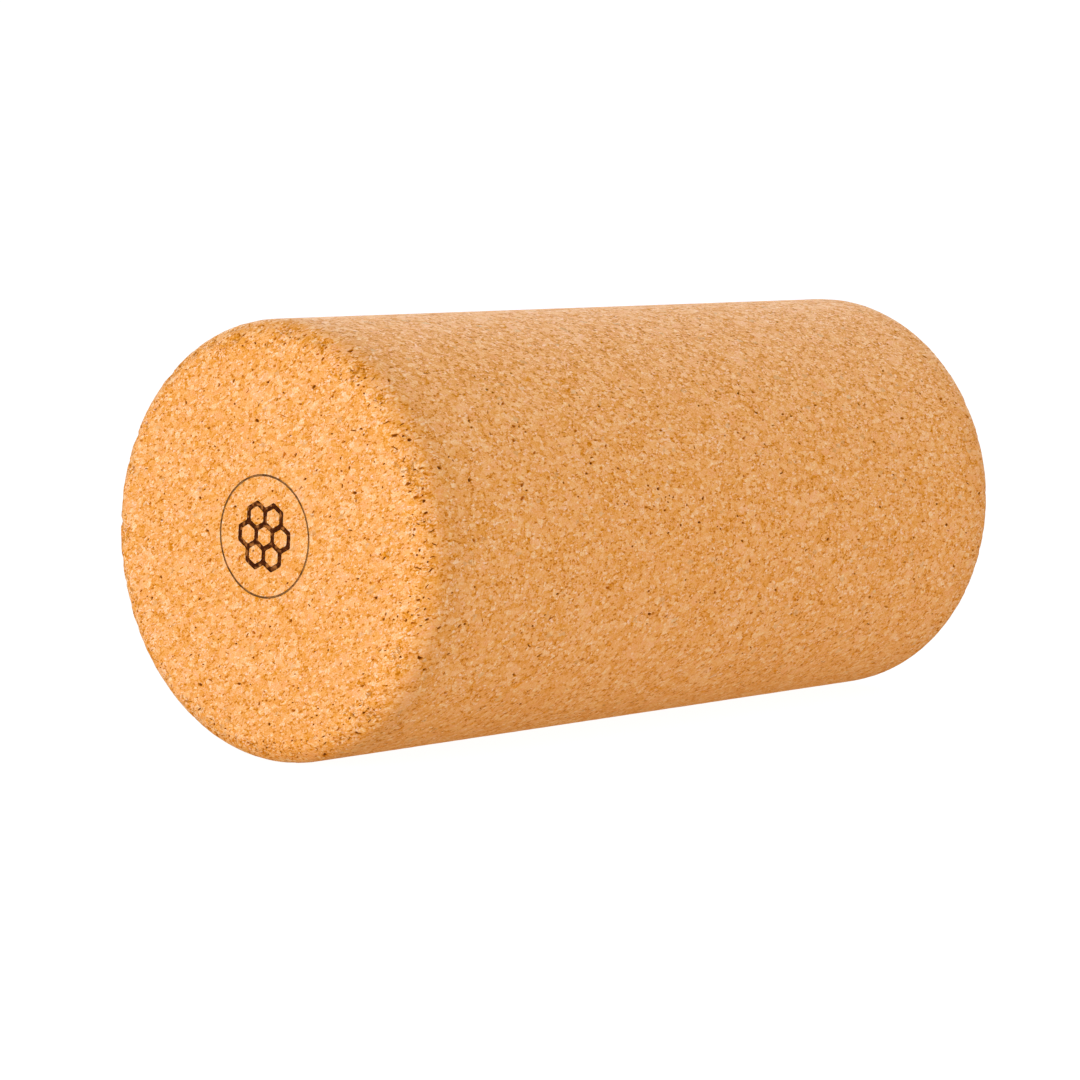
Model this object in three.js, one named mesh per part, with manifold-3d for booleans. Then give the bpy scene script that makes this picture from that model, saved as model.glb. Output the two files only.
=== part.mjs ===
// Solid roller of agglomerated cork, lying on its side.
// Millimetres, +Z up. The origin is the roller's centre. The rolling axis is X:
// -X is the marked end, +X is the plain end.
//
// Pieces:
//   cork_body   turned block with rounded rims and a shallow burnt groove in its marked end
//   mark_ring   the charred layer in the ring groove
//   mark_motif  the charred layer in the honeycomb groove
import * as THREE from "three";
import { mergeVertices } from "three/addons/utils/BufferGeometryUtils.js";
import Module from "manifold-3d";

// ---- driving dimensions (mm, degrees) ------------------------------------------------
const DIAMETER = 140; // across the flats of the rolling surface
const LENGTH = 300; // between the end faces
const RIM_RADIUS = 9; // rounding where the rolling surface meets an end
const RIM_STEPS = 8; // steps in each rounded rim
const FACETS = 96; // flats around the rolling surface and around the ring

const MARK_RISE = 2.1; // the mark sits this far above the end's centre
const MARK_TURN = -4; // turned clockwise, seen from outside the marked end
const GROOVE_DEPTH = 0.6; // how deep the mark is burnt into the cork
const CHAR_THICKNESS = 0.4; // charred layer in the groove
const CHAR_GAP = 0.1; // clearance between the charred layer and the cork around and under it
const CUT_OVERRUN = 1; // how far a cutting solid reaches past what it cuts

const RING_DIAMETER = 38.4; // to the middle of the ring's line
const RING_LINE = 0.6; // width of the ring's line
const CELL_SIDE = 4.05; // side of a hexagonal cell, from line middle to line middle
const CELL_APOTHEM = (Math.sqrt(3) / 2) * CELL_SIDE; // cell middle to line middle
const CELL_LINE = 1.5; // width of the honeycomb's line
const CELL_CORNER = 0.7; // rounding of the cells' corners
const CORNER_STEPS = 4; // steps in each rounded corner

// ---- between three.js geometry and manifold solids -------------------------------------
const wasm = await Module();
wasm.setup();

// A closed geometry as a solid: positions merged, collapsed triangles dropped, faces out.
function solidOf(geometry) {
  const bare = geometry.clone();
  bare.deleteAttribute("normal");
  bare.deleteAttribute("uv");
  const merged = mergeVertices(bare, 1e-4);
  const { position } = merged.attributes;
  const index = merged.index.array;
  const vertex = (k) => new THREE.Vector3().fromBufferAttribute(position, k);

  const triangles = [];
  let signedVolume = 0; // six times the enclosed volume, negative if the faces point in
  for (let i = 0; i < index.length; i += 3) {
    const [a, b, c] = index.slice(i, i + 3);
    if (a === b || b === c || c === a) continue;
    triangles.push([a, b, c]);
    signedVolume += vertex(a).dot(vertex(b).cross(vertex(c)));
  }
  const outward = signedVolume < 0 ? triangles.map(([a, b, c]) => [a, c, b]) : triangles;
  return new wasm.Manifold(
    new wasm.Mesh({
      numProp: 3,
      vertProperties: new Float32Array(position.array),
      triVerts: new Uint32Array(outward.flat()),
    }),
  );
}

function geometryOf(solid) {
  const { vertProperties, triVerts } = solid.getMesh();
  const geometry = new THREE.BufferGeometry();
  const positions = new THREE.BufferAttribute(new Float32Array(vertProperties), 3);
  geometry.setAttribute("position", positions);
  geometry.setIndex(new THREE.BufferAttribute(new Uint32Array(triVerts), 1));
  return geometry;
}

// ---- the mark, drawn in its own plane: x right, y up, z outwards -----------------------
// A regular hexagon standing on a corner, with rounded corners.
function hexagon(middleX, middleY, apothem) {
  const side = (2 * apothem) / Math.sqrt(3);
  const corner = (k) => {
    const angle = Math.PI / 2 + (k * Math.PI) / 3;
    return new THREE.Vector2(
      middleX + side * Math.cos(angle),
      middleY + side * Math.sin(angle),
    );
  };
  // Where an arc of radius CELL_CORNER would leave the sides of a 120 degree corner.
  const setback = CELL_CORNER / Math.sqrt(3);
  const towards = (from, to) => from.clone().add(to.clone().sub(from).setLength(setback));

  const points = [];
  for (let k = 0; k < 6; k++) {
    const here = corner(k);
    const start = towards(here, corner(k + 5));
    const end = towards(here, corner(k + 1));
    points.push(...new THREE.QuadraticBezierCurve(start, here, end).getPoints(CORNER_STEPS));
  }
  return new THREE.Shape(points);
}

// Middles of seven hexagonal cells: one in the centre and six around it.
function cellMiddles() {
  const pitch = 2 * CELL_APOTHEM;
  const middles = [[0, 0]];
  for (let k = 0; k < 6; k++) {
    const angle = (k * Math.PI) / 3;
    middles.push([pitch * Math.cos(angle), pitch * Math.sin(angle)]);
  }
  return middles;
}

// One hexagonal prism on each cell middle, from z `bottom` to `top`.
function cellPrisms(apothem, bottom, top) {
  return cellMiddles().map(([x, y]) => {
    const prism = new THREE.ExtrudeGeometry(hexagon(x, y, apothem), {
      depth: top - bottom,
      bevelEnabled: false,
    });
    prism.translate(0, 0, bottom);
    return solidOf(prism);
  });
}

// Outlines of the seven cells as one solid, from z 0 to height.
function honeycomb(lineWidth, height) {
  const blocks = cellPrisms(CELL_APOTHEM + lineWidth / 2, 0, height);
  const openings = cellPrisms(
    CELL_APOTHEM - lineWidth / 2,
    -CUT_OVERRUN,
    height + CUT_OVERRUN,
  );
  const filled = blocks.reduce((joined, block) => joined.add(block));
  return openings.reduce((rest, opening) => rest.subtract(opening), filled);
}

// A ring of rectangular section, from z 0 to height.
function ring(lineWidth, height) {
  const inner = RING_DIAMETER / 2 - lineWidth / 2;
  const outer = RING_DIAMETER / 2 + lineWidth / 2;
  const section = [
    [inner, 0],
    [outer, 0],
    [outer, height],
    [inner, height],
    [inner, 0],
  ].map(([radius, z]) => new THREE.Vector2(radius, z));
  const geometry = new THREE.LatheGeometry(section, FACETS);
  geometry.rotateX(Math.PI / 2);
  return solidOf(geometry);
}

// Places a solid of the mark on the marked end, its z 0 lying `depth` under the face.
// Seen from outside that end, right is -Y and up is +Z.
function onMarkedEnd(solid, depth) {
  const turn = new THREE.Matrix4().makeRotationZ(THREE.MathUtils.degToRad(MARK_TURN));
  const face = new THREE.Matrix4().makeBasis(
    new THREE.Vector3(0, -1, 0),
    new THREE.Vector3(0, 0, 1),
    new THREE.Vector3(-1, 0, 0),
  );
  const shift = new THREE.Matrix4().makeTranslation(-LENGTH / 2 + depth, 0, MARK_RISE);
  return geometryOf(solid).applyMatrix4(shift.multiply(face).multiply(turn));
}

// ---- pieces --------------------------------------------------------------------------
// Quarter circle of a rounded rim, as [radius, x] pairs.
function rimArc(middleX, startAngle) {
  const middleRadius = DIAMETER / 2 - RIM_RADIUS;
  const points = [];
  for (let i = 0; i <= RIM_STEPS; i++) {
    const angle = startAngle + (i / RIM_STEPS) * (Math.PI / 2);
    points.push([
      middleRadius + RIM_RADIUS * Math.cos(angle),
      middleX + RIM_RADIUS * Math.sin(angle),
    ]);
  }
  return points;
}

// The cork block before marking. Its flats touch the true circle.
function turnedBlock() {
  const endX = LENGTH / 2;
  const profile = [
    [0, -endX],
    ...rimArc(-endX + RIM_RADIUS, -Math.PI / 2),
    ...rimArc(endX - RIM_RADIUS, 0),
    [0, endX],
  ];
  const facetStep = Math.PI / FACETS; // half the angle of one flat
  const grow = 1 / Math.cos(facetStep);
  const points = profile.map(([radius, x]) => new THREE.Vector2(radius * grow, x));
  const geometry = new THREE.LatheGeometry(points, FACETS, facetStep);
  geometry.rotateZ(-Math.PI / 2);
  return solidOf(geometry);
}

function corkBody() {
  const grooves = [
    [ring, RING_LINE],
    [honeycomb, CELL_LINE],
  ];
  let body = turnedBlock();
  for (const [shape, lineWidth] of grooves) {
    const cutter = shape(lineWidth + 2 * CHAR_GAP, GROOVE_DEPTH + CUT_OVERRUN);
    body = body.subtract(solidOf(onMarkedEnd(cutter, GROOVE_DEPTH)));
  }
  return geometryOf(body);
}

// The charred layer in the groove of one shape, clear of the groove's floor.
function charLayer(shape, lineWidth) {
  return onMarkedEnd(shape(lineWidth, CHAR_THICKNESS), GROOVE_DEPTH - CHAR_GAP);
}

// ---- assembly ------------------------------------------------------------------------
const cork = new THREE.MeshStandardMaterial({ color: 0xe6a86a, roughness: 0.85, metalness: 0 });
const char = new THREE.MeshStandardMaterial({ color: 0x3c1905, roughness: 0.95, metalness: 0 });

const roller = new THREE.Group();
roller.name = "cork_roller";

function addPiece(name, geometry, material) {
  geometry.computeVertexNormals();
  const mesh = new THREE.Mesh(geometry, material);
  mesh.name = name;
  roller.add(mesh);
}

addPiece("cork_body", corkBody(), cork);
addPiece("mark_ring", charLayer(ring, RING_LINE), char);
addPiece("mark_motif", charLayer(honeycomb, CELL_LINE), char);

export default roller;
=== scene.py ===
"""Cork roller lying on a pale studio floor.

The frame holds three plain solids: the cork body and the two charred layers of the mark burnt
into its marked end. This script builds the detailed body round them (one closed mesh with pits,
cracks, crumbled rims and burnt grooves), the two charred layers, their materials, the floor,
the light and the camera.

Shapes are worked out in millimetres and stored in metres. X runs along the roller's axis from
the marked end (-X) to the plain end (+X), and Z is up.
"""

import math
from collections import namedtuple

import bpy
import numpy as np
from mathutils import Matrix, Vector
from mathutils.geometry import delaunay_2d_cdt
from mathutils.kdtree import KDTree


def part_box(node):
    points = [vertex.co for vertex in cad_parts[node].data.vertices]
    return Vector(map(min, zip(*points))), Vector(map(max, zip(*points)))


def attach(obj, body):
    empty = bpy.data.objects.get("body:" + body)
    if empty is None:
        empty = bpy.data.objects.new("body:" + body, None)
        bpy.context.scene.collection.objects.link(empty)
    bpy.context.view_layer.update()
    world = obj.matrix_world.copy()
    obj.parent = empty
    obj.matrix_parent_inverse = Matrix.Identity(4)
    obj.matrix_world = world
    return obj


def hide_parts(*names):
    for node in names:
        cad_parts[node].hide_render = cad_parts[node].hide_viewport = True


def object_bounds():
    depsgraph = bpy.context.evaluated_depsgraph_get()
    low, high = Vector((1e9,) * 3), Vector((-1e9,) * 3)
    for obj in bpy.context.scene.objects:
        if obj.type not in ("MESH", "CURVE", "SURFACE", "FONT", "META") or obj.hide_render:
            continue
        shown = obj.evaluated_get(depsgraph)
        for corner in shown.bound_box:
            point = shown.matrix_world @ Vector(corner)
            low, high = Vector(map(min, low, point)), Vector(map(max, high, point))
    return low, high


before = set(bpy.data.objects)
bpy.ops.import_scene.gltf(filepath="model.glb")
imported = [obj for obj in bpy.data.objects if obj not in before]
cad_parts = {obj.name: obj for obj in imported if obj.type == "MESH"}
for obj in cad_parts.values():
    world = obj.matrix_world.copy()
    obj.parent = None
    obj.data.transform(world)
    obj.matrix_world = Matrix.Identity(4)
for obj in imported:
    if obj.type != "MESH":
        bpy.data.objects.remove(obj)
cad_lo, cad_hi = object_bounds()

MM = 0.001
RANDOM = np.random.default_rng(7301)             # draws every cavity, in order

# ---- sizes (mm) ----------------------------------------------------------------------------
body_lo, body_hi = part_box("cork_body")
ring_lo, ring_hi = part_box("mark_ring")
HALF_LENGTH = (body_hi.x - body_lo.x) / 2 / MM
RADIUS = (body_hi.z - body_lo.z) / 2 / MM
RIM_RADIUS = 9.0                                 # rounding of the rims
EDGE_RADIUS = RADIUS - RIM_RADIUS                # of the flat part of each end
MARK_Z = (ring_lo.z + ring_hi.z) / 2 / MM        # height of the mark's middle
RING_OUTER = (ring_hi.z - ring_lo.z) / 2 / MM
RING_LINE = 0.6                                  # width of the ring's stroke
RING_MIDDLE = RING_OUTER - RING_LINE / 2
CHAR_TOP = (ring_lo.x - body_lo.x) / MM          # depth of the char under the end face
CHAR_LOW = (ring_hi.x - body_lo.x) / MM          # depth of its underside
GROOVE_DEPTH = 0.6
GROOVE_GAP = 0.1                                 # from a stroke to its groove's wall
POINT_GAP = 0.25                                 # from the groove to the nearest free points
CELL_SIDE = 4.05                                 # hexagonal cells of the mark's motif
CELL_LINE = 1.5                                  # width of their stroke
CELL_CORNER = 0.7
MARK_TURN = math.radians(-4.0)
OUTLINE_STEP = 0.42                              # between points of the mark's outlines

# The block was pressed along PRESS, which flattens its granules.
PRESS = (0.0, 0.42, 0.9075)
FACE_GRAIN = math.atan2(-PRESS[1], PRESS[2])     # direction of the granules in an end face

# The rolling surface and both rims unroll to a strip: around by along.
AROUND = 2 * math.pi * RADIUS
QUARTER = math.pi / 2 * RIM_RADIUS               # arc of one rim
FLAT = 2 * HALF_LENGTH - 2 * RIM_RADIUS
STRIP = FLAT + 2 * QUARTER
RIM_BAND = QUARTER * 0.62                        # where the extra rim cavities lie
EDGE_COUNT = 400                                 # points round each end face's edge
SEAM = math.radians(-70)                         # the seam lies low, on the +Y side
EDGE_AROUND = np.arange(EDGE_COUNT + 1) / EDGE_COUNT * AROUND


# ---- seeded value noise --------------------------------------------------------------------
def lattice_hash(ix, iy, iz, seed):
    """A number from 0 to 1 for each lattice point."""
    mixed = (ix * 374761393 + iy * 668265263 + iz * 2147483647 + seed * 1274126177) & 0xFFFFFFFF
    mixed = ((mixed ^ (mixed >> 13)) * 1103515245) & 0xFFFFFFFF
    mixed = ((mixed ^ (mixed >> 16)) * 2654435761) & 0xFFFFFFFF
    return ((mixed ^ (mixed >> 15)) & 0xFFFFFF) / float(0xFFFFFF)


def noise(points, size, seed):
    """Smooth value noise from 0 to 1 at points (mm), with features of about the given size."""
    scaled = np.asarray(points, float) / size
    corner = np.floor(scaled)
    part = scaled - corner
    part = part * part * part * (part * (part * 6 - 15) + 10)
    corner = corner.astype(np.int64)
    total = 0.0
    for step in np.ndindex(2, 2, 2):
        share_x, share_y, share_z = np.where(step, part, 1 - part).T
        total = total + share_x * share_y * share_z * lattice_hash(*(corner + step).T, seed)
    return total


def smooth(values, start, end):
    """Eases from 0 at start to 1 at end."""
    share = np.clip((np.asarray(values, float) - start) / (end - start), 0, 1)
    return share * share * (3 - 2 * share)


# ---- the mark's outlines, in the mark's own plane (right, up) --------------------------------
def hex_corners(middle, side):
    angles = [math.pi / 2 + k * math.pi / 3 for k in range(6)]
    return np.array([(middle[0] + side * math.cos(angle), middle[1] + side * math.sin(angle))
                     for angle in angles])


CELL_PITCH = math.sqrt(3) * CELL_SIDE
CELL_MIDDLES = [(0.0, 0.0)] + [
    (CELL_PITCH * math.cos(k * math.pi / 3), CELL_PITCH * math.sin(k * math.pi / 3))
    for k in range(6)
]


def cluster_outline():
    """The outer boundary of the seven cells, anticlockwise."""
    sides = set()
    for middle in CELL_MIDDLES:
        corners = [(round(x, 3), round(y, 3)) for x, y in hex_corners(middle, CELL_SIDE).tolist()]
        sides.update(zip(corners, corners[1:] + corners[:1]))
    following = {start: end for start, end in sides if (end, start) not in sides}
    start = min(following)
    loop = [start]
    here = following[start]
    while here != start:
        loop.append(here)
        here = following[here]
    return np.array(loop, float)


def unit(vector):
    return vector / np.linalg.norm(vector)


def corner_triples(loop):
    """Each corner of a closed loop with the ones before and after it."""
    return zip(np.roll(loop, 1, 0), loop, np.roll(loop, -1, 0))


def offset(loop, distance):
    """The closed anticlockwise polygon moved outwards."""
    moved = []
    for before, corner, after in corner_triples(loop):
        arriving, leaving = unit(corner - before), unit(after - corner)
        mitre = np.array([arriving[1] + leaving[1], -arriving[0] - leaving[0]])
        moved.append(corner + mitre / (mitre @ mitre) * 2 * distance)
    return np.array(moved)


def rounded(loop, cut, steps=4):
    """Each corner replaced by a curve that starts and ends at the distance cut from it."""
    curve = []
    for before, corner, after in corner_triples(loop):
        start = corner + unit(before - corner) * cut
        end = corner + unit(after - corner) * cut
        for k in range(steps + 1):
            t = k / steps
            curve.append((1 - t) ** 2 * start + 2 * t * (1 - t) * corner + t * t * end)
    return np.array(curve)


def resample(loop):
    """Even points along a closed loop."""
    closed = np.vstack([loop, loop[:1]])
    sides = np.linalg.norm(np.diff(closed, axis=0), axis=1)
    run = np.concatenate([[0], np.cumsum(sides)])
    count = max(8, int(round(run[-1] / OUTLINE_STEP)))
    places = np.arange(count) / count * run[-1]
    return np.stack([np.interp(places, run, closed[:, axis]) for axis in (0, 1)], 1)


def circle(radius):
    count = max(12, int(round(2 * math.pi * radius / OUTLINE_STEP)))
    angles = np.arange(count) / count * 2 * math.pi
    return np.stack([radius * np.cos(angles), radius * np.sin(angles)], 1)


def loop_normals(loop):
    """Outward directions for an anticlockwise loop."""
    tangents = np.roll(loop, -1, 0) - np.roll(loop, 1, 0)
    tangents /= np.linalg.norm(tangents, axis=1)[:, None]
    return np.stack([tangents[:, 1], -tangents[:, 0]], 1)


def ragged(loop, amount, seed):
    """A burnt edge: the loop wanders a little across itself."""
    noise_level = 0.37
    points = np.column_stack([loop, np.full(len(loop), noise_level)])
    wander = ((noise(points, size=0.9, seed=seed) - 0.5) * 1.4
              + (noise(points, size=0.4, seed=seed + 1) - 0.5) * 0.9)
    return loop + loop_normals(loop) * (wander * amount)[:, None]


def motif_edge(loop, seed):
    return ragged(resample(rounded(loop, CELL_CORNER / math.sqrt(3))), amount=0.10, seed=seed)


CELL_CHAR_HALF = CELL_LINE / 2 - 0.03            # half the width of the charred strokes
RING_CHAR_HALF = RING_LINE / 2 - 0.06
HOLE_SIDE = CELL_SIDE - CELL_CHAR_HALF * 2 / math.sqrt(3)
motif_outer = motif_edge(offset(cluster_outline(), CELL_CHAR_HALF), seed=11)
motif_holes = [motif_edge(hex_corners(middle, HOLE_SIDE), seed=20 + k)
               for k, middle in enumerate(CELL_MIDDLES)]
ring_outer = ragged(circle(RING_MIDDLE + RING_CHAR_HALF), amount=0.08, seed=41)
ring_inner = ragged(circle(RING_MIDDLE - RING_CHAR_HALF), amount=0.08, seed=42)


def mark_to_face(points):
    """Mark plane to end-face plane (Y, Z): right is -Y, up is +Z."""
    cosine, sine = math.cos(MARK_TURN), math.sin(MARK_TURN)
    right = points[:, 0] * cosine - points[:, 1] * sine
    up = points[:, 0] * sine + points[:, 1] * cosine
    return np.stack([-right, up + MARK_Z], 1)


# ---- cavities: pits and cracks ---------------------------------------------------------------
# points: places on the surface; share: depth share of each; reach: half the long way across
Cavity = namedtuple("Cavity", "x y reach radius turn points share depth dark")

# rim, wall and floor of a cavity: share of its radius, share of its depth, every how many points
CAVITY_RINGS = ((1.0, 0.0, 1), (0.74, 0.72, 1), (0.36, 1.0, 2))


class Neighbourhood:
    """Cavities filed by square, so that close ones are found quickly."""

    SQUARE = 4

    def __init__(self):
        self.squares = {}

    def add(self, x, y, reach):
        square = (x // self.SQUARE, y // self.SQUARE)
        self.squares.setdefault(square, []).append((x, y, reach))

    def touches(self, x, y, reach):
        column, row = x // self.SQUARE, y // self.SQUARE
        return any(math.hypot(x - other_x, y - other_y) < reach + other_reach
                   for i in (-1, 0, 1) for j in (-1, 0, 1)
                   for other_x, other_y, other_reach in self.squares.get((column + i, row + j), ()))


def cavity_shape(count, radius, aspect, turn, bend):
    """Offsets and depth shares of one cavity's points."""
    points, shares = [], []
    jitter = 1 + RANDOM.normal(0, 0.10, count)
    for size, depth_share, every in CAVITY_RINGS:
        for k in range(0, count, every):
            angle = 2 * math.pi * k / count
            x = aspect * radius * size * math.cos(angle) * jitter[k]
            y = radius * size * math.sin(angle) * jitter[k]
            y += bend * (x / (aspect * radius)) ** 2 * radius
            points.append((x * math.cos(turn) - y * math.sin(turn),
                           x * math.sin(turn) + y * math.cos(turn)))
            shares.append(depth_share)
    return np.array(points), np.array(shares)


def draw_proportions(crack_share):
    """Radius, aspect, points in the rim, bend and depth of a crack or a pit."""
    if RANDOM.random() < crack_share:
        radius = RANDOM.uniform(0.16, 0.25)
        aspect = RANDOM.uniform(3.0, 7.0)
        bend = RANDOM.uniform(-1.2, 1.2)
        return radius, aspect, 14, bend, RANDOM.uniform(0.35, 0.6)
    radius = float(np.clip(RANDOM.lognormal(math.log(0.34), 0.30), 0.2, 0.62))
    aspect = RANDOM.uniform(1.1, 2.3)
    return radius, aspect, 8, RANDOM.uniform(-0.5, 0.5), 1.15 * radius + 0.12


def make_cavities(count, inside, bounds, crack_share, grain, size=1.0, pale_share=0.5):
    """Scatters cavities where inside(x, y, margin) is true, each lying along grain(x, y)."""
    cavities = []
    placed = Neighbourhood()
    tries = 0
    follow = None                                # the last cavity, which the next may join
    while len(cavities) < count and tries < count * 40:
        tries += 1
        if follow is not None and RANDOM.random() < 0.45:
            angle = RANDOM.random() * 2 * math.pi
            distance = RANDOM.uniform(1.3, 2.3)
            x = follow[0] + distance * math.cos(angle)
            y = follow[1] + distance * math.sin(angle)
        else:
            x = RANDOM.uniform(bounds[0], bounds[1])
            y = RANDOM.uniform(bounds[2], bounds[3])
        follow = None
        radius, aspect, ring_count, bend, depth = draw_proportions(crack_share)
        radius *= size
        reach = radius * aspect
        if not inside(x, y, reach + 0.5) or placed.touches(x, y, reach + 0.45):
            continue
        turn = RANDOM.normal(grain(x, y), 0.45)  # cavities follow the flattened granules
        points, share = cavity_shape(ring_count, radius, aspect, turn, bend)
        pale = RANDOM.random() < pale_share
        dark = RANDOM.uniform(0.35, 0.7) if pale else RANDOM.uniform(0.8, 1.0)
        placed.add(x, y, reach)
        cavities.append(Cavity(x, y, reach, radius, turn, points + (x, y), share,
                               depth * size, dark))
        follow = (x, y)
    return cavities


# ---- surface points and triangles --------------------------------------------------------------
# grid spacing, used where the wanted spacing is from, to
SPACING_BANDS = ((0.8, 0, 0.95), (1.05, 0.95, 1.3), (1.5, 1.3, 1.8), (2.0, 1.8, 2.25),
                 (2.6, 2.25, 99))
ROW_PITCH = 0.866                                # rows of a hexagonal grid, in spacings


def hex_grid(start_x, start_y, columns, rows, spacing):
    i, j = np.meshgrid(np.arange(columns), np.arange(rows))
    x = start_x + (i + 0.5 * (j % 2)) * spacing
    y = start_y + j * spacing * ROW_PITCH
    return x.ravel(), y.ravel()


def base_points(bounds, spacing_of, seed):
    """Jittered points whose spacing follows spacing_of(x, y), from nested hexagonal grids."""
    kept = []
    jitter = np.random.default_rng(seed)
    for spacing, low, high in SPACING_BANDS:
        columns = int((bounds[1] - bounds[0]) / spacing) + 2
        rows = int((bounds[3] - bounds[2]) / (spacing * ROW_PITCH)) + 2
        x, y = hex_grid(bounds[0], bounds[2], columns, rows, spacing)
        x = x + jitter.uniform(-0.22, 0.22, x.size) * spacing
        y = y + jitter.uniform(-0.22, 0.22, y.size) * spacing
        wanted = spacing_of(x, y)
        keep = (wanted >= low) & (wanted < high)
        kept.append(np.stack([x[keep], y[keep]], 1))
    return np.vstack(kept)


def search_tree(points):
    tree = KDTree(len(points))
    for i, (x, y) in enumerate(points):
        tree.insert((x, y, 0.0), i)
    tree.balance()
    return tree


def clear_of_cavities(points, cavities):
    """Drops the points within an ellipse round each cavity."""
    tree = search_tree(points)
    drop = np.zeros(len(points), bool)
    for cavity in cavities:
        cosine, sine = math.cos(cavity.turn), math.sin(cavity.turn)
        for place, i, _ in tree.find_range((cavity.x, cavity.y, 0.0), cavity.reach + 0.8):
            x, y = place[0] - cavity.x, place[1] - cavity.y
            lengthwise = (x * cosine + y * sine) / (cavity.reach + 0.42)
            across = (-x * sine + y * cosine) / (cavity.radius + 0.5)
            if lengthwise ** 2 + across ** 2 < 1:
                drop[i] = True
    return points[~drop]


def loop_edges(first, count):
    return [(first + i, first + (i + 1) % count) for i in range(count)]


def triangulate(points, edges=()):
    flat_points = [Vector((float(x), float(y))) for x, y in points]
    result = delaunay_2d_cdt(flat_points, list(edges), [], 0, 1e-7)
    made, faces, origin = result[0], result[2], result[3]
    back = np.array([sources[0] if len(sources) else -1 for sources in origin])
    if (back < 0).any() or len(made) != len(points):
        raise RuntimeError("the triangulation added or lost points")
    return back[np.array(faces, dtype=np.int64)]


def surface_rows(points, depth=0.0, pit=0.0, lip=0.0, burn=0.0):
    """One row per point: two for its place, then depth, pit, lip and burn."""
    rows = np.empty((len(points), 6))
    rows[:, :2] = points
    for column, values in enumerate((depth, pit, lip, burn), 2):
        rows[:, column] = values
    return rows


def cavity_rows(cavities):
    return [surface_rows(hole.points, depth=hole.share * hole.depth, pit=hole.share * hole.dark,
                         lip=hole.share == 0) for hole in cavities]


def relief(points, rim):
    """Inward depth of the worn surface at points, and how torn it is there, 0 to 1."""
    depth = 0.05 * noise(points, size=3.1, seed=101) + 0.03 * noise(points, size=1.4, seed=102)
    field = (noise(points, size=2.9, seed=103) * 0.55
             + noise(points, size=1.5, seed=104) * 0.45)
    patches = smooth(noise(points, size=8.0, seed=107), start=0.30, end=0.62)
    chips = smooth(field, start=0.50, end=0.68) * (0.35 + 0.65 * patches)
    depth = depth + rim * (0.16 * noise(points, size=1.8, seed=105) + 0.60 * chips)
    return depth, rim * chips


# One part of the body: seven arrays with a row per point, then its triangles.
Part = namedtuple("Part", "places normals pit burn rim torn lip uv triangles")


def make_part(rows, surface, normals, rim, uv, triangles):
    """Sinks the surface points of the rows to their depth."""
    depth, pit, lip, burn = rows[:, 2:].T
    worn, torn = relief(surface, rim)
    depth = depth + np.where(burn > 0.9, 0.0, worn)
    places = surface - normals * depth[:, None]
    return Part(places, normals, pit, burn, rim, torn, lip, uv, triangles)


# Texture map: the strip below, the two end faces side by side above it.
UV_STRIP_HEIGHT = 0.625
UV_FACE = 0.355
UV_PAD = 0.006


# ---- the rolling surface and rims --------------------------------------------------------------
def strip_surface(around, along):
    """Unrolled place to x, y, z and normal."""
    low_turn = np.clip(along / RIM_RADIUS, 0, math.pi / 2)
    high_turn = np.clip((along - QUARTER - FLAT) / RIM_RADIUS, 0, math.pi / 2)
    radial = np.sin(low_turn) * np.cos(high_turn)
    axial = np.sin(high_turn) - np.cos(low_turn)
    centre_x = np.clip(along - QUARTER, 0, FLAT) - HALF_LENGTH + RIM_RADIUS
    radius = EDGE_RADIUS + RIM_RADIUS * radial
    angle = around / RADIUS + SEAM
    cosine, sine = np.cos(angle), np.sin(angle)
    places = np.stack([centre_x + RIM_RADIUS * axial, radius * cosine, radius * sine], 1)
    return places, np.stack([axial, radial * cosine, radial * sine], 1)


def strip_rim(along):
    near = np.minimum(along, STRIP - along)
    return (smooth(near, start=-2.0, end=2.0)
            * (1 - smooth(near, start=QUARTER * 0.50, end=QUARTER * 0.85)))


def strip_inside(x, y, margin):
    return margin < x < AROUND - margin and margin < y < STRIP - margin


def strip_grain(x, y):
    """Direction in the strip that lies in the plane of the flattened granules."""
    angle = x / RADIUS + SEAM
    rim_turn = min(y, STRIP - y, QUARTER) / RIM_RADIUS
    across = PRESS[1] * math.cos(angle) + PRESS[2] * math.sin(angle)
    around = -PRESS[1] * math.sin(angle) + PRESS[2] * math.cos(angle)
    return math.atan2(-around, across * math.cos(rim_turn) * (1 if y < STRIP / 2 else -1))


def strip_cavities():
    """Cavities all over the strip, then more in patches along each rim."""
    cavities = make_cavities(count=1240, inside=strip_inside, bounds=(0.0, AROUND, 0.0, STRIP),
                             crack_share=0.15, grain=strip_grain, size=1.10, pale_share=0.40)
    taken = Neighbourhood()
    for cavity in cavities:
        taken.add(cavity.x, cavity.y, cavity.reach)

    def rim_inside(x, y, margin):
        if not strip_inside(x, y, margin):
            return False
        place = strip_surface(np.array([x]), np.array([y]))[0]
        if noise(place, size=14.0, seed=109)[0] < 0.22 + 0.5 * RANDOM.random():
            return False
        return min(y, STRIP - y) <= RIM_BAND and not taken.touches(x, y, margin)

    for count, low, high in ((290, 0.0, RIM_BAND), (250, STRIP - RIM_BAND, STRIP)):
        cavities = cavities + make_cavities(
            count=count, inside=rim_inside, bounds=(0.0, AROUND, low, high),
            crack_share=0.40, grain=strip_grain, size=1.05, pale_share=0.50)
    return cavities


def strip_base(cavities):
    """The free points of the strip, closer together on the rims."""
    def spacing(x, y):
        near = np.minimum(y, STRIP - y)
        return 1.0 + 1.6 * smooth(near, start=QUARTER * 0.60, end=QUARTER * 0.95)

    base = base_points((0.9, AROUND - 0.9, 0.55, STRIP - 0.55), spacing, seed=51)
    x, y = base.T
    base = base[(x > 0.55) & (x < AROUND - 0.55) & (y > 0.4) & (y < STRIP - 0.4)]
    return clear_of_cavities(base, cavities)


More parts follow.
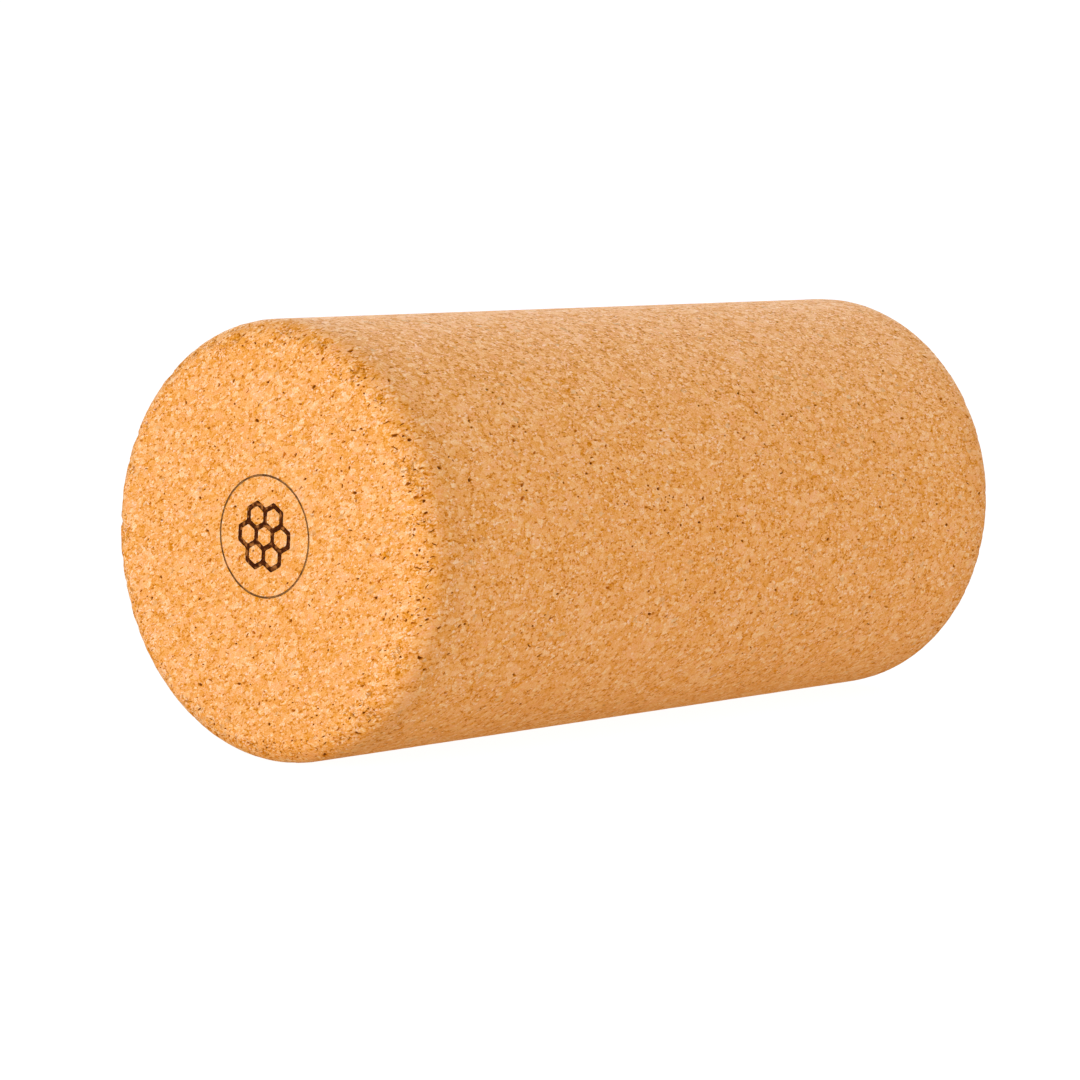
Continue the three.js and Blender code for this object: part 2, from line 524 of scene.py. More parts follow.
def build_strip():
    """The strip, and for each of its points the one it is welded to."""
    cavities = strip_cavities()
    seam = np.concatenate([np.linspace(0, QUARTER, 13)[1:],
                           np.linspace(QUARTER, STRIP - QUARTER, int(FLAT / 1.9))[1:-1],
                           np.linspace(STRIP - QUARTER, STRIP, 13)[:-1]])
    borders = [np.stack([EDGE_AROUND, np.full(EDGE_COUNT + 1, along)], 1) for along in (0.0, STRIP)]
    borders += [np.stack([np.full(len(seam), around), seam], 1) for around in (0.0, AROUND)]
    rows = np.vstack([surface_rows(points) for points in borders + [strip_base(cavities)]]
                     + cavity_rows(cavities))

    weld = np.arange(len(rows))
    left = 2 * (EDGE_COUNT + 1)                  # first point of the seam at around = 0
    right = left + len(seam)
    weld[right:right + len(seam)] = left + np.arange(len(seam))
    for first in (0, EDGE_COUNT + 1):
        weld[first + EDGE_COUNT] = first

    around, along = rows[:, 0], rows[:, 1]
    surface, normals = strip_surface(around, along)
    uv = np.stack([UV_PAD + around / AROUND * (1 - 2 * UV_PAD),
                   UV_PAD + along / STRIP * (UV_STRIP_HEIGHT - 2 * UV_PAD)], 1)
    triangles = triangulate(rows[:, :2])
    return make_part(rows, surface, normals, strip_rim(along), uv, triangles), weld


# ---- the end faces -----------------------------------------------------------------------------
# Loops outside each edge of the char: distance, depth, burn, whether its edges are kept
GROOVE_LOOPS = ((0.02, GROOVE_DEPTH, 1.0, True), (0.05, 0.03, 0.75, True), (0.18, 0.0, 0.0, False))

cell_loops = np.array([hex_corners(middle, CELL_SIDE) for middle in CELL_MIDDLES])
STROKE_START = mark_to_face(cell_loops.reshape(-1, 2))
STROKE_RUN = mark_to_face(np.roll(cell_loops, -1, 1).reshape(-1, 2)) - STROKE_START


def clear_of_mark(points, margin):
    """True where a point is at least margin outside the burnt strokes and their grooves."""
    from_middle = np.hypot(points[:, 0], points[:, 1] - MARK_Z)
    clearance = GROOVE_GAP + POINT_GAP + margin
    clear = np.abs(from_middle - RING_MIDDLE) > RING_LINE / 2 + clearance
    within_ring = from_middle < RING_MIDDLE - 2
    offsets = points[within_ring][:, None] - STROKE_START[None]
    share = np.einsum("nsk,sk->ns", offsets, STROKE_RUN) / (STROKE_RUN * STROKE_RUN).sum(1)
    share = np.clip(share, 0, 1)
    distance = np.linalg.norm(offsets - share[..., None] * STROKE_RUN[None], axis=2).min(1)
    clear[within_ring] &= distance > CELL_LINE / 2 + clearance
    return clear


def groove_rows(first):
    """Rows of the loops round the strokes, and the edges to keep; first is their first index."""
    rows, edges = [], []
    outlines = [(motif_outer, 1), (ring_outer, 1), (ring_inner, -1)]
    for loop, sign in outlines + [(hole, -1) for hole in motif_holes]:
        outwards = loop_normals(loop) * sign
        for distance, depth, burn, keep_edges in GROOVE_LOOPS:
            points = mark_to_face(loop + outwards * distance)
            rows.append(surface_rows(points, depth=depth, burn=burn))
            if keep_edges:
                edges.extend(loop_edges(first, len(loop)))
            first += len(loop)
    return rows, edges


def end_face(side, seed, marked):
    """The end face at side (-1 or 1 along X); its first EDGE_COUNT points are the shared edge."""
    def inside(x, y, margin):
        if math.hypot(x, y) > EDGE_RADIUS - margin:
            return False
        return not marked or bool(clear_of_mark(np.array([[x, y]]), margin)[0])

    def spacing(x, y):
        near_edge = smooth(np.hypot(x, y), start=EDGE_RADIUS - 5, end=EDGE_RADIUS - 1.5)
        wanted = 2.0 - 0.95 * near_edge
        if marked:
            off_mark = smooth(np.hypot(x, y - MARK_Z), start=22, end=27)
            wanted = np.minimum(wanted, 0.85 + 1.15 * off_mark)
        return wanted

    bounds = (-EDGE_RADIUS, EDGE_RADIUS, -EDGE_RADIUS, EDGE_RADIUS)
    cavities = make_cavities(count=230, inside=inside, bounds=bounds, crack_share=0.20,
                             grain=lambda x, y: FACE_GRAIN)
    grid = base_points(bounds, spacing, seed)
    grid = grid[np.hypot(grid[:, 0], grid[:, 1]) < EDGE_RADIUS - 0.5]
    if marked:
        grid = grid[clear_of_mark(grid, margin=0.12)]
    grid = clear_of_cavities(grid, cavities)

    angles = EDGE_AROUND[:-1] / RADIUS + SEAM
    edge = np.stack([EDGE_RADIUS * np.cos(angles), EDGE_RADIUS * np.sin(angles)], 1)
    grooves, kept_edges = groove_rows(EDGE_COUNT) if marked else ([], [])
    rows = np.vstack([surface_rows(edge)] + grooves + [surface_rows(grid)] + cavity_rows(cavities))
    points = rows[:, :2]
    surface = np.column_stack([np.full(len(points), side * HALF_LENGTH), points])
    normals = np.tile([float(side), 0.0, 0.0], (len(points), 1))
    rim = smooth(np.hypot(points[:, 0], points[:, 1]) - EDGE_RADIUS, start=-2.0, end=2.0)
    uv_corner = (UV_PAD if side == -1 else UV_PAD * 3 + UV_FACE, UV_STRIP_HEIGHT + UV_PAD)
    uv = uv_corner + (points / (2 * EDGE_RADIUS) + 0.5) * UV_FACE
    return make_part(rows, surface, normals, rim, uv, triangulate(points, kept_edges))


# ---- meshes ------------------------------------------------------------------------------------
def triangle_normals(places, triangles):
    first, second, third = (places[triangles[:, k]] for k in range(3))
    return np.cross(second - first, third - first)


def turned_inwards(places, triangles, outward):
    """True, in a column, for each triangle whose normal disagrees with outward."""
    return ((triangle_normals(places, triangles) * outward).sum(1) < 0)[:, None]


def drop_unused(triangles, count):
    """Which of the points are used, and the triangles numbered by those alone."""
    used = np.zeros(count, bool)
    used[triangles.ravel()] = True
    return used, (np.cumsum(used) - 1)[triangles]


def require_closed(name, triangles, count):
    """Stops the script unless every edge is used once in each direction."""
    edges = np.concatenate([triangles[:, pair] for pair in ((0, 1), (1, 2), (2, 0))])
    edges = edges.astype(np.int64)
    there = edges[:, 0] * count + edges[:, 1]
    back = edges[:, 1] * count + edges[:, 0]
    if len(np.unique(there)) != len(there) or not np.array_equal(np.sort(there), np.sort(back)):
        raise RuntimeError(name + " is not one closed surface")


def link_object(name, mesh):
    made = bpy.data.objects.new(name, mesh)
    bpy.context.scene.collection.objects.link(made)
    return made


def mesh_object(name, places, triangles, attributes, uv=None):
    """A closed smooth mesh from places (mm), with one float attribute per entry."""
    require_closed(name, triangles, len(places))
    mesh = bpy.data.meshes.new(name)
    mesh.vertices.add(len(places))
    mesh.vertices.foreach_set("co", (places * MM).astype(np.float32).ravel())
    mesh.loops.add(3 * len(triangles))
    mesh.loops.foreach_set("vertex_index", triangles.astype(np.int32).ravel())
    mesh.polygons.add(len(triangles))
    mesh.polygons.foreach_set("loop_start", np.arange(len(triangles), dtype=np.int32) * 3)
    mesh.polygons.foreach_set("use_smooth", np.ones(len(triangles), bool))
    if uv is not None:
        layer = mesh.uv_layers.new(name="OFBake")
        layer.data.foreach_set("uv", uv.reshape(-1, 2).astype(np.float32).ravel())
    for key, values in attributes.items():
        attribute = mesh.attributes.new(key, "FLOAT", "POINT")
        attribute.data.foreach_set("value", np.asarray(values, np.float32))
    mesh.update(calc_edges=True)
    mesh.validate()
    return link_object(name, mesh)


def unit_rows(vectors):
    return vectors / np.maximum(np.linalg.norm(vectors, axis=1), 1e-12)[:, None]


def set_lip_normals(body, places, triangles, normals, lip):
    """Pits are cut cleanly: points of their lips keep the direction of the open surface."""
    face_normals = triangle_normals(places, triangles)
    point_normals = np.zeros_like(places)
    for k in range(3):
        np.add.at(point_normals, triangles[:, k], face_normals)
    point_normals = unit_rows(unit_rows(point_normals) + lip[:, None] * 4.0 * normals)
    body.data.normals_split_custom_set_from_vertices(point_normals.tolist())


def build_body():
    strip, weld = build_strip()
    ends = (end_face(-1, seed=61, marked=True), end_face(1, seed=62, marked=False))

    # one point list: the strip, then each face without its shared edge
    triangles = [weld[strip.triangles]]
    first = len(strip.places)
    for edge_first, end in zip((0, EDGE_COUNT + 1), ends):
        own = len(end.places) - EDGE_COUNT
        index = np.concatenate([edge_first + np.arange(EDGE_COUNT), first + np.arange(own)])
        triangles.append(index[end.triangles])
        first += own
    triangles = np.vstack(triangles)
    columns = [np.concatenate([strip[k]] + [end[k][EDGE_COUNT:] for end in ends])
               for k in range(7)]
    uv = np.concatenate([part.uv[part.triangles] for part in (strip, *ends)])

    places, normals = columns[:2]
    flip = turned_inwards(places, triangles, normals[triangles].mean(1))
    triangles = np.where(flip, triangles[:, ::-1], triangles)
    uv = np.where(flip[..., None], uv[:, ::-1], uv)
    used, triangles = drop_unused(triangles, len(places))
    places, normals, pit, burn, rim, torn, lip = (column[used] for column in columns)
    body = mesh_object("cork_roller_body", places, triangles,
                       {"pit": pit, "burn": burn, "rim": rim, "torn": torn}, uv)
    set_lip_normals(body, places, triangles, normals, lip)
    return body


# ---- the charred layers ------------------------------------------------------------------------
def within(points, loop):
    """True for each point inside the loop, by the edges crossed on the way out."""
    x, y = points[:, 0][:, None], points[:, 1][:, None]
    start_x, start_y = loop.T[:, None]
    end_x, end_y = np.roll(loop, -1, 0).T[:, None]
    meets_x = (end_x - start_x) * (y - start_y) / (end_y - start_y + 1e-12) + start_x
    crossed = ((start_y > y) != (end_y > y)) & (x < meets_x)
    return crossed.sum(1) % 2 == 1


def within_layer(points, outer, holes):
    inside = within(points, outer)
    for hole in holes:
        inside &= ~within(points, hole)
    return inside


def char_solid(name, outer, holes, seed):
    """A thin closed solid with a blistered top."""
    edges = []
    rim_count = 0
    for loop in [outer, *holes]:
        edges.extend(loop_edges(rim_count, len(loop)))
        rim_count += len(loop)
    rim_points = np.vstack([outer, *holes])

    spacing = 0.34
    low, high = outer.min(0) - 0.5, outer.max(0) + 0.5
    columns = int((high[0] - low[0]) / spacing)
    rows = int((high[1] - low[1]) / (spacing * ROW_PITCH))
    grid = np.stack(hex_grid(low[0], low[1], columns, rows, spacing), 1)
    grid += np.random.default_rng(seed).uniform(-0.07, 0.07, grid.shape)
    tree = search_tree(rim_points)
    grid = grid[[tree.find((x, y, 0.0))[2] > 0.16 for x, y in grid]]
    points = np.vstack([rim_points, grid[within_layer(grid, outer, holes)]])
    triangles = triangulate(points, edges)
    triangles = triangles[within_layer(points[triangles].mean(1), outer, holes)]

    count = len(points)
    face = mark_to_face(points)
    noise_points = np.column_stack([face, np.full(count, 3.3)])
    on_edge = np.zeros(count)
    on_edge[:rim_count] = 1
    top = CHAR_TOP + 0.10 * (noise(noise_points, size=0.7, seed=seed) - 0.5) + 0.04 * on_edge
    crater = smooth(noise(noise_points, size=1.0, seed=seed + 3), start=0.60, end=0.76)
    top = np.maximum(top + 0.16 * crater * (1 - on_edge), 0.03)
    upper = np.column_stack([-HALF_LENGTH + top, face])
    lower = np.column_stack([np.full(count, -HALF_LENGTH + CHAR_LOW), face])
    flip = turned_inwards(upper, triangles, (-1.0, 0, 0))
    triangles = np.where(flip, triangles[:, ::-1], triangles)

    # walls join the outlines of the top and the underside
    sides = dict.fromkeys(side for i, j, k in triangles for side in ((i, j), (j, k), (k, i)))
    walls = []
    for start, end in sides:
        if (end, start) not in sides:
            walls.append((end, start, count + start))
            walls.append((end, count + start, count + end))
    triangles = np.vstack([triangles, triangles[:, ::-1] + count, np.array(walls)])
    used, triangles = drop_unused(triangles, 2 * count)
    return mesh_object(name, np.vstack([upper, lower])[used], triangles,
                       {"crater": np.concatenate([crater, crater])[used]})


# ---- node helpers ------------------------------------------------------------------------------
class Field:
    """A node's output. Arithmetic on it adds math nodes, or vector math nodes for vectors."""

    def __init__(self, graph, socket):
        self.graph = graph
        self.socket = socket
        self.is_number = socket.type == "VALUE"

    def join(self, operation, other):
        if self.is_number:
            return self.graph.math(operation, self, other)
        return self.graph.vector_math(operation, {0: self, 1: other})

    def __add__(self, other):
        return self.join("ADD", other)

    def __sub__(self, other):
        return self.join("SUBTRACT", other)

    def __rsub__(self, other):
        return self.graph.math("SUBTRACT", other, self)

    def __mul__(self, other):
        """Number by number, vector by number, or number by fixed vector (a tuple)."""
        if not self.is_number:
            return self.graph.vector_math("SCALE", {0: self, "Scale": other})
        if isinstance(other, tuple):
            return self.graph.vector_math("SCALE", {0: other, "Scale": self})
        return self.join("MULTIPLY", other)

    def __abs__(self):
        return self.graph.math("ABSOLUTE", self)

    def larger(self, other):
        return self.join("MAXIMUM", other)

    def centred(self):
        return self - (0.5 if self.is_number else (0.5, 0.5, 0.5))

    def scaled(self, by, plus, clamp=False):
        return self.graph.math("MULTIPLY_ADD", self, by, plus, use_clamp=clamp)

    def ease(self, span, out=(0.0, 1.0)):
        """Goes smoothly from out[0] to out[1] over the span."""
        return self.graph.add("ShaderNodeMapRange", {
            "Value": self, "From Min": span[0], "From Max": span[1],
            "To Min": out[0], "To Max": out[1]}, interpolation_type="SMOOTHSTEP", clamp=True)


class Graph:
    """Adds nodes to the tree of a material or world."""

    def __init__(self, owner):
        self.tree = owner.node_tree

    def feed(self, socket, value):
        if isinstance(value, Field):
            self.tree.links.new(value.socket, socket)
        elif socket.type == "RGBA":
            socket.default_value = (*value, 1.0)
        else:
            socket.default_value = value

    def add(self, kind, inputs=None, output=0, **properties):
        """Returns the named output, or a list of them if output is a tuple."""
        node = self.tree.nodes.new(kind)
        for key, value in properties.items():
            setattr(node, key, value)
        for key, value in (inputs or {}).items():
            self.feed(node.inputs[key], value)
        if isinstance(output, tuple):
            return [Field(self, node.outputs[key]) for key in output]
        return Field(self, node.outputs[output])

    def math(self, operation, first, second=0.0, third=0.0, **properties):
        return self.add("ShaderNodeMath", {0: first, 1: second, 2: third},
                        operation=operation, **properties)

    def vector_math(self, operation, inputs, output=0):
        return self.add("ShaderNodeVectorMath", inputs, output, operation=operation)

    def dot(self, vector, direction):
        return self.vector_math("DOT_PRODUCT", {0: vector, 1: direction}, "Value")

    def coordinates(self, kind):
        return self.add("ShaderNodeTexCoord", output=kind)

    def attribute(self, name):
        return self.add("ShaderNodeAttribute", output="Fac", attribute_name=name)

    def noise(self, vector, scale, detail, roughness=0.5, output="Fac"):
        return self.add("ShaderNodeTexNoise", {
            "Vector": vector, "Scale": scale, "Detail": detail, "Roughness": roughness}, output)

    def wander(self, vector, scale, detail, amount):
        """A noisy shift of the given size."""
        return self.noise(vector, scale, detail, output="Color").centred() * amount

    def voronoi(self, vector, scale, output, feature="F1"):
        inputs = {"Vector": vector, "Scale": scale, "Randomness": 1.0}
        return self.add("ShaderNodeTexVoronoi", inputs, output, feature=feature)

    def granules(self, vector, scale):
        """Distance from each cell's middle, and three random numbers for the cell."""
        distance, colour = self.voronoi(vector, scale, output=("Distance", "Color"))
        return distance, self.add("ShaderNodeSeparateColor", {0: colour}, output=(0, 1, 2))

    def axes(self, vector):
        return self.add("ShaderNodeSeparateXYZ", {0: vector}, output=(0, 1, 2))

    def mix(self, factor, base, over, blend="MIX"):
        return self.add("ShaderNodeMix", {0: factor, 6: base, 7: over}, output=2,
                        data_type="RGBA", blend_type=blend, clamp_factor=True)

    def tinted(self, colour, by):
        return self.mix(1.0, colour, by, blend="MULTIPLY")

    def mix_value(self, factor, base, over):
        return self.add("ShaderNodeMix", {0: factor, 2: base, 3: over}, data_type="FLOAT")

    def ramp(self, factor, stops):
        node = self.tree.nodes.new("ShaderNodeValToRGB")
        self.feed(node.inputs[0], factor)
        elements = node.color_ramp.elements
        while len(elements) < len(stops):
            elements.new(0.5)
        for element, (position, colour) in zip(elements, stops):
            element.position = position
            element.color = (*colour, 1.0)
        return Field(self, node.outputs[0])

    def bump(self, height, strength, distance):
        return self.add("ShaderNodeBump", {
            "Height": height, "Strength": strength, "Distance": distance})

    def surface(self, inputs):
        shader = self.add("ShaderNodeBsdfPrincipled", inputs)
        self.add("ShaderNodeOutputMaterial", {"Surface": shader}, output=())


def new_material(name):
    material = bpy.data.materials.new(name)
    material.use_nodes = True
    material.node_tree.nodes.clear()
    return material, Graph(material)


def srgb(*channels):
    """Linear colour from 8-bit sRGB channels."""
    shares = [channel / 255 for channel in channels]
    return tuple(share / 12.92 if share <= 0.04045 else ((share + 0.055) / 1.055) ** 2.4
                 for share in shares)


# ---- cork --------------------------------------------------------------------------------------
# tone of the cork, linear colour
CORK_STOPS = [
    (0.04, (0.545, 0.155, 0.002)),
    (0.16, (0.655, 0.212, 0.006)),
    (0.26, (0.730, 0.258, 0.018)),
    (0.37, (0.787, 0.299, 0.047)),
    (0.45, (0.818, 0.331, 0.075)),
    (0.54, (0.848, 0.367, 0.108)),
    (0.67, (0.882, 0.428, 0.168)),
    (0.77, (0.908, 0.485, 0.230)),
    (0.88, (0.935, 0.575, 0.335)),
]
# painted shade in the open cracks of the rims
CRACK_PAINTED_SHADE = (0.470, 0.155, 0.012)
LIP_ORANGE = (0.620, 0.190, 0.008)
PIT_BROWN = (0.215, 0.055, 0.004)
BURNT_BROWN = (0.042, 0.011, 0.002)
GREYISH = (0.600, 0.350, 0.165)

Granules = namedtuple("Granules", "tone gap fine hue grey")


def cork_granules(graph, place):
    """Pressed granules of three sizes: some large and medium ones left whole, fine ones between.

    Gaps show where granules meet, as small deep-orange spots.
    """
    along = graph.dot(place, PRESS)
    flat = place + along * 0.50 * PRESS          # flattened along the direction of pressing
    warp = graph.wander(flat, scale=0.85, detail=1.0, amount=1.7)
    warped = flat + warp + graph.wander(flat, scale=2.0, detail=0.0, amount=0.42)
    large, large_random = graph.granules(warped, scale=0.23)
    medium, medium_random = graph.granules(warped, scale=0.50)
    tiny, tiny_random = graph.granules(warped, scale=1.05)
    large_whole = large_random[1].ease(span=(0.90, 0.92))
    medium_whole = medium_random[1].ease(span=(0.50, 0.52)) * (1.0 - large_whole)
    loose = 1.0 - (large_whole + medium_whole)   # only fine granules here

    # tone by granule, then grain within it
    fine = graph.noise(flat, scale=1.6, detail=0.3)
    streak = graph.noise(flat, scale=0.7, detail=1.0)
    tone = loose * tiny_random[0].scaled(by=0.48, plus=0.27)
    tone = (loose * tiny_random[2].ease(span=(0.87, 0.90))).scaled(by=0.27, plus=tone)
    tone = tone + medium_whole * medium_random[0].scaled(by=0.40, plus=0.35)
    tone = tone + large_whole * large_random[0].scaled(by=0.18, plus=0.48)
    tone = fine.centred().scaled(by=0.60, plus=tone)
    tone = streak.centred().scaled(by=0.26, plus=tone)

    # gaps, fewer in some patches
    patch = graph.noise(flat, scale=0.36, detail=1.0)
    gap = loose * tiny.ease(span=(0.50, 0.92))
    gap = gap.larger((1.0 - large_whole) * medium.ease(span=(0.64, 1.0)))
    gap = gap.larger(large.ease(span=(0.80, 1.0)) * 0.8)
    gap = gap * patch.ease(span=(0.30, 0.62), out=(0.62, 1.0))
    tone = tone - gap * 0.32

    # small bark-coloured specks and pale flecks
    thin = place + along * 1.10 * PRESS + warp
    speck, speck_random = graph.granules(thin, scale=0.44)
    blob = speck.ease(span=(0.14, 0.38), out=(1.0, 0.0))
    dark_speck = blob * speck_random[0].ease(span=(0.52, 0.72))
    pale_speck = blob * speck_random[0].ease(span=(0.18, 0.26), out=(1.0, 0.0))
    tone = dark_speck.scaled(by=-0.56, plus=tone)
    tone = pale_speck.scaled(by=0.32, plus=tone)

    hue = graph.mix_value(loose, medium_random[1], tiny_random[1]) - 0.5
    grey = medium_random[2].ease(span=(0.983, 0.988)) * (1.0 - large_whole)
    return Granules(tone, gap, fine, hue, grey)


def rim_flakes(graph, place, rough):
    """Flakes of the turned rims: two random numbers for each, and the open cracks between."""
    curl = place + graph.wander(place, scale=0.70, detail=1.0, amount=2.8)
    edge = graph.voronoi(curl, scale=0.68, output="Distance", feature="DISTANCE_TO_EDGE")
    flake_random = graph.granules(curl, scale=0.68)[1]
    open_edge = graph.noise(place, scale=0.8, detail=1.0)
    crack = edge.ease(span=(0.08, 0.28), out=(1.0, 0.0)) * open_edge.ease(span=(0.46, 0.60))
    return flake_random[0], flake_random[1], crack * rough


def cork_colour(graph, place, tone, granules, crack):
    """Colour of the cork outside its pits and grooves."""
    colour = graph.ramp(tone, CORK_STOPS)
    # granules differ a little in hue, and a few are greyish
    colour = graph.mix(granules.hue.scaled(by=1.0, plus=0.5, clamp=True),
                       graph.tinted(colour, by=(1.0, 0.965, 1.07)),
                       graph.tinted(colour, by=(1.0, 1.035, 0.93)))
    colour = graph.mix(granules.grey * 0.38, colour, GREYISH)
    colour = graph.tinted(colour, by=(1.005, 0.985, 0.955))
    # near the ends: a little duller, and painted shade (brown) in the open cracks of the rims
    from_end = HALF_LENGTH - abs(graph.axes(place)[0])
    dull = from_end.ease(span=(0.5, 2.5)) * from_end.ease(span=(5.0, 26.0), out=(1.0, 0.0))
    colour = graph.mix(dull, colour, graph.tinted(colour, by=(0.935, 0.918, 0.875)))
    return graph.mix(crack.ease(span=(0.15, 0.95), out=(0.0, 0.80)), colour, CRACK_PAINTED_SHADE)


def cork_material():
    material, graph = new_material("agglomerated_cork")
    place = graph.coordinates("Object") * 1000.0             # millimetres
    pit, burn, rim, torn = (graph.attribute(name) for name in ("pit", "burn", "rim", "torn"))

    granules = cork_granules(graph, place)
    gap, fine = granules.gap, granules.fine
    torn = torn.ease(span=(0.04, 0.60))
    rough_rim = (torn * 0.85).larger(rim * 0.22)
    flake_tone, flake_height, crack = rim_flakes(graph, place, rough_rim)
    lift = (flake_tone - 0.42).scaled(by=0.66, plus=fine.centred() * 0.7)
    tone = rough_rim.scaled(by=lift, plus=granules.tone)

    # pits are orange at the lip and brown below; groove walls are burnt
    pit_dark = pit.ease(span=(0.24, 0.80))
    burnt = burn.ease(span=(0.35, 0.75))
    colour = cork_colour(graph, place, tone, granules, crack)
    colour = graph.mix(pit.ease(span=(0.0, 0.32)), colour, LIP_ORANGE)
    colour = graph.mix(pit_dark, colour, PIT_BROWN)
    colour = graph.mix(burnt, colour, BURNT_BROWN)

    height = fine.scaled(by=0.35, plus=gap * -0.75)
    height = crack.scaled(by=-0.8, plus=height)
    height = (flake_height * rough_rim).scaled(by=0.6, plus=height)

    # hollow and torn places have no gloss
    hollow = pit.ease(span=(0.0, 0.3)).larger(burnt)
    hollow = hollow.larger(gap.ease(span=(0.1, 0.9)).larger(crack))
    hollow = hollow.larger(torn.larger(rim * 0.7))
    open_roughness = tone.ease(span=(0.2, 0.8), out=(0.70, 0.56))
    graph.surface({
        "Base Color": colour,
        "Roughness": graph.mix_value(pit_dark, base=open_roughness, over=0.95),
        "Normal": graph.bump(height, strength=0.5, distance=0.00035),
        "Specular IOR Level": graph.mix_value(hollow, base=0.22, over=0.0),
        "Sheen Weight": graph.mix_value(hollow, base=0.02, over=0.0),
        "Sheen Roughness": 0.45,
    })
    return material


# ---- scorched cork -----------------------------------------------------------------------------
# noise level, colour
CHAR_STOPS = [(0.30, srgb(44, 13, 1)), (0.50, srgb(66, 24, 2)),
              (0.60, srgb(92, 42, 10)), (0.74, srgb(140, 80, 32))]
PALE_CHAR = srgb(156, 108, 62)
CRATER_BROWN = srgb(176, 106, 48)


def char_material(name, pale):
    material, graph = new_material(name)
    place = graph.coordinates("Object") * 1000.0             # millimetres
    fine = graph.noise(place, scale=1.6, detail=4.0, roughness=0.65)
    broad = graph.noise(place, scale=0.45, detail=2.0)
    colour = graph.ramp(fine * 0.7 + broad * 0.3, CHAR_STOPS)
    if pale:
        colour = graph.mix(broad.ease(span=(0.38, 0.62), out=(0.30, 0.80)), colour, PALE_CHAR)
    colour = graph.mix(graph.attribute("crater") * 0.75, colour, CRATER_BROWN)
    graph.surface({
        "Base Color": colour,
        "Roughness": fine.ease(span=(0.3, 0.7), out=(0.75, 0.92)),
        "Normal": graph.bump(fine, strength=0.6, distance=0.0002),
        "Specular IOR Level": 0.05,
    })
    return material


# ---- floor and sky -----------------------------------------------------------------------------
def floor_dish(level, radius=6.0, flat=4.2, rise=1.4, around=96, rings=26):
    """A pale studio sweep (metres): flat in the middle, curving up far away all round."""
    places = [(0.0, 0.0, level)]
    for i in range(1, rings + 1):
        reach = radius * (i / rings)
        bend = max(reach - flat, 0.0) / (radius - flat) * math.pi / 2
        z = level + rise * (1 - math.cos(bend))
        for k in range(around):
            angle = 2 * math.pi * k / around
            places.append((reach * math.cos(angle), reach * math.sin(angle), z))
    faces = [(0, 1 + k, 1 + (k + 1) % around) for k in range(around)]
    for i in range(rings - 1):
        inner, outer = 1 + i * around, 1 + (i + 1) * around
        for k in range(around):
            after = (k + 1) % around
            faces.append((inner + k, outer + k, outer + after, inner + after))
    mesh = bpy.data.meshes.new("studio_floor")
    mesh.from_pydata(places, [], faces)
    for polygon in mesh.polygons:
        polygon.use_smooth = True
    mesh.update()
    return link_object("studio_floor", mesh)


def floor_material():
    """Glows in place of light bounced off a pale floor. Painted shadow and painted warm bounce:
    where the roller stands over the floor, the glow that lights it is dimmer and warmer, while the
    camera sees the floor evenly pale.
    """
    material, graph = new_material("pale_floor")
    under_x = (HALF_LENGTH - 10) * MM
    under_y = 0.25 * RADIUS * MM
    x, y, _ = graph.axes(graph.coordinates("Object"))
    over_x = (abs(x) - under_x).larger(0.0)
    over_y = (abs(y) - under_y).larger(0.0)
    away = graph.math("SQRT", over_x * over_x + over_y * over_y)
    # painted shadow: for all but camera rays the floor's glow is dimmer and warmer under and near
    # the roller
    glow_with_painted_shadow = graph.mix(away.ease(span=(0.0, 1.3 * RADIUS * MM)),
                       base=(0.75, 0.665, 0.455), over=(0.865, 0.87, 0.86))
    seen = graph.add("ShaderNodeLightPath", output="Is Camera Ray")
    graph.surface({
        "Base Color": (0.115, 0.125, 0.132),
        "Roughness": 0.95,
        "Specular IOR Level": 0.0,
        "Emission Color": graph.mix(seen, base=glow_with_painted_shadow, over=(0.96, 0.96, 0.96)),
        "Emission Strength": 1.0,
    })
    return material


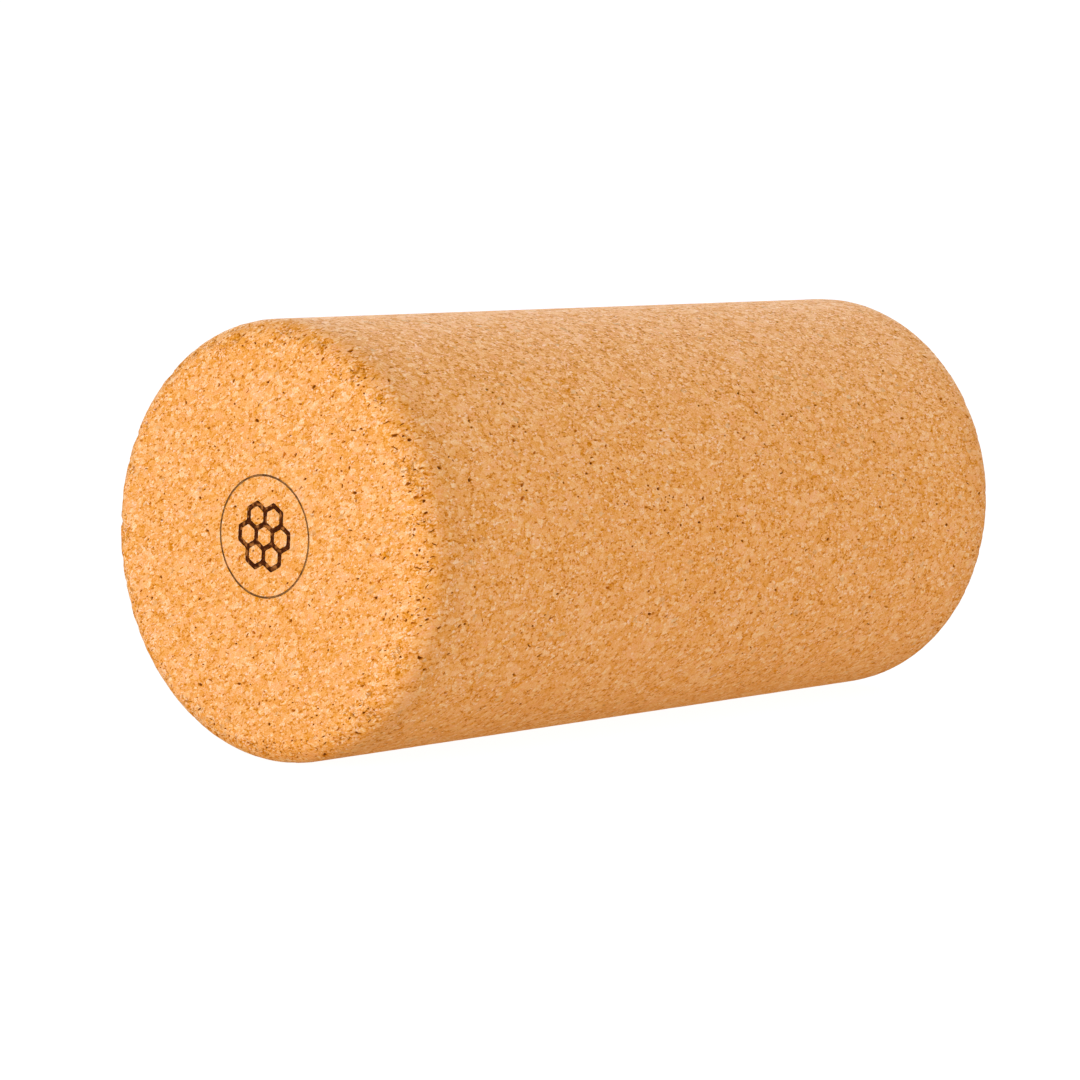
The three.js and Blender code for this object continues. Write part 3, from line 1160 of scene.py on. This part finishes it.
def build_sky(scene):
    """One even sky with three levels.

    They are what lights the object, what its slight gloss mirrors (only above the horizon, and
    most towards the bright backdrop) and what the camera sees behind it.
    """
    world = bpy.data.worlds.new("studio_sky")
    scene.world = world
    world.use_nodes = True
    background = world.node_tree.nodes["Background"]
    graph = Graph(world)
    glossy, camera, diffuse = graph.add(
        "ShaderNodeLightPath", output=("Is Glossy Ray", "Is Camera Ray", "Is Diffuse Ray"))
    ray_z = graph.axes(graph.coordinates("Generated"))[2]
    backdrop = graph.dot(graph.coordinates("Generated"), (0.756, 0.649, 0.0))
    gloss = ray_z.ease(span=(-0.06, 0.10)) * ray_z.ease(span=(0.05, 0.45), out=(0.42, 1.0))
    gloss = gloss * backdrop.ease(span=(0.10, 0.62), out=(0.45, 3.3))
    level = graph.mix_value(glossy, base=0.825, over=gloss)
    level = graph.mix_value(camera, base=level, over=1.02)
    tint = graph.mix(glossy, base=(1.0, 1.0, 1.0), over=(0.87, 1.0, 1.05))
    lighting = graph.mix(ray_z.ease(span=(0.0, 1.0)),
                         base=(1.045, 0.992, 0.935), over=(0.87, 1.005, 1.14))
    graph.feed(background.inputs[0], graph.mix(diffuse, base=tint, over=lighting))
    graph.feed(background.inputs[1], level)


# ---- light and camera --------------------------------------------------------------------------
def aim(thing, direction):
    thing.rotation_mode = "QUATERNION"
    thing.rotation_quaternion = Vector(direction).to_track_quat("-Z", "Y")


def build_key_light():
    """A disk beyond the marked end (metres)."""
    place, target = (-2.6, -0.35, 0.55), (-0.15, 0, 0)
    light = bpy.data.lights.new("key", "AREA")
    light.shape = "DISK"
    light.size = 1.0
    light.energy = 24.0
    light.color = (0.94, 1.03, 1.26)
    key = link_object("key", light)
    key.location = place
    aim(key, Vector(target) - Vector(place))


def build_camera(scene):
    place_in_radii = (-15.69693, -13.25662, 1.63082)
    lens = bpy.data.cameras.new("view")
    lens.sensor_width = 36.0
    lens.lens = 141.635
    lens.clip_start = 0.05
    lens.clip_end = 50
    camera = link_object("view", lens)
    camera.location = [share * (RADIUS * MM) for share in place_in_radii]
    aim(camera, (0.756111, 0.648881, -0.085145))
    scene.camera = camera


# ---- the whole scene ---------------------------------------------------------------------------
body = build_body()
motif = char_solid("burnt_honeycomb", motif_outer, motif_holes, seed=301)
ring = char_solid("burnt_ring", ring_outer, [ring_inner], seed=302)
body.data.materials.append(cork_material())
motif.data.materials.append(char_material("scorched_cork", pale=False))
ring.data.materials.append(char_material("scorched_cork_light", pale=True))

for piece, node, slot in ((body, "cork_body", "cork"), (ring, "mark_ring", "char"),
                          (motif, "mark_motif", "char")):
    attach(piece, "root")
    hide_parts(node)

floor = floor_dish(level=float(cad_lo.z))
floor.data.materials.append(floor_material())
floor.visible_glossy = False

scene = bpy.context.scene
build_sky(scene)
build_key_light()
scene.view_settings.view_transform = "Standard"
scene.view_settings.look = "None"
scene.view_settings.exposure = 0.0
scene.view_settings.gamma = 1.0
build_camera(scene)
